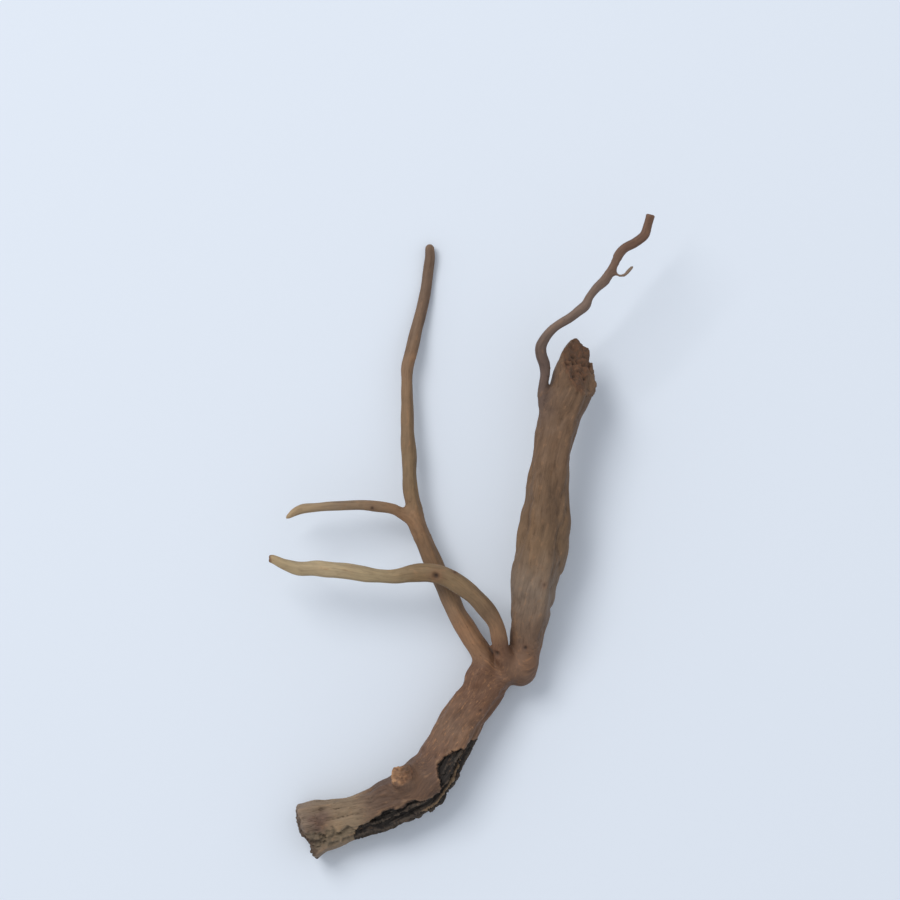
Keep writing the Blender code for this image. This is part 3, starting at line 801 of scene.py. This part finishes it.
def makeRoot():
    mesh = growTogether()
    bm = bmesh.new()
    bm.from_mesh(mesh)
    dropCrumbs(bm)
    softenJoints(bm)
    bm.to_mesh(mesh)
    bm.free()
    print("limbs grown together:", len(mesh.vertices), "points")

    points, edges = placesAndEdges(mesh)
    points, rotten, ribs, lip = carveRot(points)
    points, chipped = knockChips(points)
    setPlaces(mesh, points)
    normals = evened(normalsOf(mesh), edges, growth["reliefPasses"])
    wood = readGrain(points)
    tornBy = readTorn(points, wood)
    torn = np.clip(sum(tornBy.values()), 0, 1)
    fresh = np.clip(tornBy["snappedStub"], 0, 1) * smoothStep(*growth["fresh"], points[:, 0])
    print("rot carved, ends torn")

    points = raiseRelief(points, normals, wood, rotten, torn)
    points, tone, pitShade = pressScars(points, normals, wood["tone"])
    setPlaces(mesh, points)
    # how deep each point lies in a hollow; the finish paints shade into hollows and a highlight on the
    # rot's ridges from it
    broad = evened(points, edges, growth["hollowPasses"])
    hollow = ((broad - points) * normalsOf(mesh)).sum(1)
    print("relief raised")

    tone = np.clip(evened(tone, edges, growth["tonePasses"]), 0, 1)
    addAttribute(mesh, "grain", "FLOAT_VECTOR", wood["grain"])
    addAttribute(mesh, "woodTone", "FLOAT_COLOR", tone)
    marks = {
        "flecks": wood["flecks"], "cracks": wood["cracks"], "rotten": rotten, "ribs": ribs, "lip": lip,
        "chipped": chipped, "torn": torn, "fresh": fresh, "tornFoot": np.clip(tornBy["stock"], 0, 1),
        "hollow": hollow, "pitShade": pitShade,
    }
    for name, values in marks.items():
        addAttribute(mesh, name, "FLOAT", values)
    settle(mesh)
    mesh = thinOut(mesh)
    root = bpy.data.objects.new("rootWood", mesh)
    bpy.context.scene.collection.objects.link(root)
    print("root finished:", len(mesh.loop_triangles), "triangles")
    return root


# a socket that takes part in sums
class Wire:
    def __init__(self, recipe, socket):
        self.recipe = recipe
        self.socket = socket

    def maths(self, operation, *values):
        return self.recipe.node("Math", {"operation": operation}, dict(enumerate(values)))

    def __add__(self, other):
        return self.maths("ADD", self, other)

    def __sub__(self, other):
        return self.maths("SUBTRACT", self, other)

    def __rsub__(self, other):
        return self.maths("SUBTRACT", other, self)

    def __mul__(self, other):
        return self.maths("MULTIPLY", self, other)

    def __abs__(self):
        return self.maths("ABSOLUTE", self)

    __radd__ = __add__
    __rmul__ = __mul__


# one material's nodes
class Recipe:
    def __init__(self, name):
        self.material = bpy.data.materials.new(name)
        self.material.use_nodes = True
        self.tree = self.material.node_tree
        self.shader = self.tree.nodes["Principled BSDF"]

    def plug(self, inputs, key, value):
        if isinstance(value, Wire):
            self.tree.links.new(value.socket, inputs[key])
        else:
            inputs[key].default_value = value

    def node(self, kind, settings, sockets, output=0):
        made = self.tree.nodes.new("ShaderNode" + kind)
        for key, value in settings.items():
            setattr(made, key, value)
        for key, value in sockets.items():
            self.plug(made.inputs, key, value)
        return Wire(self, made.outputs[output])

    def attribute(self, name, output="Fac"):
        return self.node("Attribute", {"attribute_name": name}, {}, output)

    def noise(self, places, stretch, detail, rough, shift):
        stretched = self.node(
            "VectorMath", {"operation": "MULTIPLY_ADD"}, {0: places, 1: stretch, 2: (shift,) * 3}
        )
        return self.node(
            "TexNoise", {}, {"Vector": stretched, "Scale": 1.0, "Detail": detail, "Roughness": rough}
        )

    def between(self, value, low, high):
        return self.node(
            "MapRange", {"interpolation_type": "SMOOTHSTEP"},
            {"Value": value, "From Min": low, "From Max": high},
        )

    def blend(self, mask, first, second, how="MIX"):
        return self.node(
            "Mix", {"data_type": "RGBA", "blend_type": how}, {0: mask, 6: first, 7: second}, 2
        )

    def tint(self, mask, body, factors):
        return self.blend(mask, body, self.blend(1.0, body, factors, "MULTIPLY"))

    def finish(self, **sockets):
        for key, value in sockets.items():
            self.plug(self.shader.inputs, key.replace("_", " "), value)
        return self.material


def colour(name, lift=1.0):
    return (*[float(value) * lift for value in linearColour(name)], 1.0)


# what the finish reads of the mesh, beside its grain and tone
woodMarks = [
    "flecks", "cracks", "rotten", "ribs", "lip", "chipped", "torn", "fresh", "tornFoot", "hollow", "pitShade",
]

# the finish's noises: how fine to the mm of grain, then detail, roughness and shift
woodNoises = {
    "clouds": ((0.13, 0.13, 0.05), 3.0, 0.55, 0.0),
    "mottle": ((0.55, 0.55, 0.28), 3.0, 0.6, 9.0),
    "fibre": ((1.7, 1.7, 0.085), 4.0, 0.6, 3.0),
    "dash": ((1.7, 1.7, 0.42), 3.0, 0.62, 17.0),
    "shade": ((1.1, 1.1, 0.22), 2.0, 0.5, 29.0),
    "seam": ((0.62, 0.62, 0.022), 2.0, 0.5, 43.0),
    "seamGate": ((0.10, 0.10, 0.045), 1.0, 0.5, 51.0),
    "layers": ((1.5, 1.5, 0.10), 4.0, 0.65, 71.0),
    "threads": ((1.6, 0.6, 0.35), 4.0, 0.6, 87.0),
    "strips": ((0.75, 0.32, 0.30), 3.0, 0.5, 91.0),
}

# what clouds and streaks the tone: a noise, where it starts and is full, how strong, and its tint
woodTints = [
    ("clouds", 0.52, 0.72, 0.55, (1.24, 1.15, 1.02, 1)),
    ("clouds", 0.50, 0.30, 0.60, (0.68, 0.65, 0.65, 1)),
    ("mottle", 0.54, 0.72, 0.40, (1.22, 1.16, 1.08, 1)),
    ("mottle", 0.48, 0.30, 0.45, (0.70, 0.67, 0.66, 1)),
    ("fibre", 0.50, 0.70, 0.40, (1.32, 1.26, 1.18, 1)),
    ("fibre", 0.50, 0.30, 0.50, (0.64, 0.60, 0.58, 1)),
]


# short orange dashes along the grain, in patches, and dark ones
def flecked(mix, wood, body):
    patch = mix.between(wood["mottle"], 0.38, 0.60) * 0.8 + 0.2
    speck = mix.between(wood["dash"], 0.53, 0.68) * patch * wood["flecks"]
    body = mix.blend(speck * 0.75, body, colour("orangeTan"))
    shade = mix.between(wood["shade"], 0.57, 0.72) * (wood["flecks"] * 0.35 + 0.06)
    return mix.blend(shade, body, colour("darkBrown"))


def splitsIn(mix, wood):
    seam = mix.between(abs(wood["seam"] - 0.5), 0.016, 0.002)
    return seam * mix.between(wood["seamGate"], 0.48, 0.60) * (wood["cracks"] * 0.9 + 0.06)


def poresIn(mix, wood):
    spots = mix.node(
        "VectorMath", {"operation": "MULTIPLY"}, {0: wood["grain"], 1: (0.85, 0.85, 0.34)}
    )
    cells = mix.node("TexVoronoi", {}, {"Vector": spots, "Scale": 1.0})
    return mix.between(cells, 0.15, 0.07) * mix.between(wood["clouds"], 0.46, 0.56)


# painted shade: darker in the hollows, where shade falls; paler where ridges are worn
def worn(mix, wood, body):
    body = mix.blend(mix.between(wood["hollow"], 0.03, 0.34) * 0.70, body, colour("darkBrown", 0.62))
    return mix.tint(mix.between(wood["hollow"], -0.05, -0.30) * 0.30, body, (1.45, 1.38, 1.30, 1))


# the foot's broken hollows, then the rot, dark with paler standing layers, a painted highlight on its
# ridges and a pale lip
def rotted(mix, wood, body):
    body = mix.blend(mix.between(wood["chipped"], 0.1, 0.8) * 0.55, body, colour("wornOlive"))
    lip = wood["lip"] * mix.between(wood["mottle"], 0.36, 0.58)
    body = mix.blend(lip * 0.6, body, colour("midBrown", 1.15))
    layers = mix.between(wood["layers"], 0.44, 0.70)
    rotBody = mix.blend(layers, colour("charred"), colour("charredGrey"))
    # painted highlight on the rot's ridges, paler where they stand out
    ridgeHighlight = mix.between(wood["hollow"], -0.14, -0.46)
    rotBody = mix.blend(ridgeHighlight * 0.30, rotBody, colour("greyBrown", 0.8))
    rim = mix.between(wood["ribs"], 0.50, 0.85) * mix.between(wood["layers"], 0.32, 0.50)
    rotBody = mix.blend(rim * 0.85, rotBody, colour("rimTan"))
    return mix.blend(mix.between(wood["rotten"], 0.22, 0.62), body, rotBody)


# the torn ends and the stub's fresh side, both with painted shade in their hollows, and the foot
def splintered(mix, wood, body):
    threads, hollow = wood["threads"], wood["hollow"]
    tornBody = mix.blend(mix.between(threads, 0.36, 0.62), colour("tornBrown"), colour("tornRed"))
    # painted shade in the torn ends' hollows
    tornBody = mix.blend(mix.between(hollow, 0.05, 0.45) * 0.65, tornBody, colour("umber", 0.8))
    strips = mix.between(wood["strips"], 0.38, 0.60)
    freshBody = mix.blend(strips, colour("orangeBrown"), colour("tornPink"))
    freshBody = mix.tint(mix.between(threads, 0.50, 0.34) * 0.35, freshBody, (0.80, 0.76, 0.74, 1))
    # painted shade in the stub's hollows
    freshBody = mix.blend(mix.between(hollow, 0.04, 0.28) * 0.7, freshBody, colour("redBrown"))
    footBody = mix.blend(mix.between(threads, 0.38, 0.60), colour("darkBrown"), colour("tornGrey"))
    frayed = wood["mottle"] * 1.6 - 0.8
    body = mix.blend(mix.between(wood["torn"] + frayed, 0.25, 1.05) * 0.9, body, tornBody)
    body = mix.blend(mix.between(wood["fresh"] + frayed, 0.1, 0.75), body, freshBody)
    return mix.blend(mix.between(wood["tornFoot"] + frayed, 0.2, 0.8), body, footBody)


def woodFinish():
    mix = Recipe("rootWood")
    wood = {name: mix.attribute(name) for name in woodMarks}
    wood["grain"] = mix.attribute("grain", "Vector")
    for name, settings in woodNoises.items():
        wood[name] = mix.noise(wood["grain"], *settings)

    body = mix.attribute("woodTone", "Color")
    for name, start, full, strength, factors in woodTints:
        body = mix.tint(mix.between(wood[name], start, full) * strength, body, factors)
    body = flecked(mix, wood, body)
    split, pore = splitsIn(mix, wood), poresIn(mix, wood)
    body = mix.blend(split * 0.75, body, colour("umber"))
    body = mix.blend(pore * 0.45, body, colour("umber"))
    # painted shade in the hollows, and wear on the ridges
    body = worn(mix, wood, body)
    body = rotted(mix, wood, body)
    body = splintered(mix, wood, body)
    # painted shade in the deep scars' bottoms
    body = mix.blend(wood["pitShade"] * 0.85, body, colour("umber", 0.7))

    gloss = 0.66 + wood["rotten"] * 0.2 + wood["torn"] * 0.2
    gloss = gloss - mix.between(wood["fibre"], 0.45, 0.70) * 0.10
    height = wood["fibre"] * 0.5 + wood["mottle"] * 0.35 + wood["dash"] * 0.2 - split * 0.7 - pore * 0.4
    height = height + wood["layers"] * wood["rotten"] * 0.9 + wood["threads"] * wood["torn"] * 0.9
    bump = mix.node("Bump", {}, {"Strength": 0.7, "Distance": 0.0003, "Height": height})
    return mix.finish(Base_Color=body, Roughness=gloss, Specular_IOR_Level=0.28, Normal=bump)


root = makeRoot()
root.data.materials.append(woodFinish())
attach(root, "root")
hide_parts("spiderwood_root")

# the floor, light and camera; the camera looks straight down, as the photograph does
studio = {
    "floorSize": 40.0,
    "floorColour": (0.69, 0.755, 0.85, 1),
    "skyColour": (0.95, 0.97, 1.0, 1),
    "skyStrength": 0.66,
    "keyPlace": (-1.6, 1.7, 2.9),
    "keySize": 1.8,
    "keyPower": 78.0,
    "keyColour": (1.0, 0.97, 0.93),
    "cameraPlace": (-0.0042, 0.0332, 1.818),
    "lens": 191.5,
    "sensor": 36.0,
}


def makeFloor():
    bm = bmesh.new()
    bmesh.ops.create_grid(bm, x_segments=2, y_segments=2, size=studio["floorSize"] / 2)
    mesh = bpy.data.meshes.new("floor")
    bm.to_mesh(mesh)
    bm.free()
    floor = bpy.data.objects.new("floor", mesh)
    bpy.context.scene.collection.objects.link(floor)
    card = Recipe("floorCard")
    mesh.materials.append(card.finish(Base_Color=studio["floorColour"], Roughness=0.9))


def lightStudio():
    world = bpy.data.worlds.new("softbox")
    world.use_nodes = True
    sky = world.node_tree.nodes["Background"]
    sky.inputs["Color"].default_value = studio["skyColour"]
    sky.inputs["Strength"].default_value = studio["skyStrength"]
    bpy.context.scene.world = world
    light = bpy.data.lights.new("key", "AREA")
    light.size = studio["keySize"]
    light.energy = studio["keyPower"]
    light.color = studio["keyColour"]
    key = bpy.data.objects.new("key", light)
    key.location = studio["keyPlace"]
    key.rotation_euler = (-Vector(studio["keyPlace"])).to_track_quat("-Z", "Y").to_euler()
    bpy.context.scene.collection.objects.link(key)
    bpy.context.scene.view_settings.view_transform = "Standard"


def placeCamera():
    camera = bpy.data.cameras.new("camera")
    camera.lens = studio["lens"]
    camera.sensor_width = studio["sensor"]
    camera.clip_start = 0.01
    camera.clip_end = 100
    stand = bpy.data.objects.new("camera", camera)
    stand.location = studio["cameraPlace"]
    bpy.context.scene.collection.objects.link(stand)
    bpy.context.scene.camera = stand


makeFloor()
lightStudio()
placeCamera()
print("floor, light and camera placed")
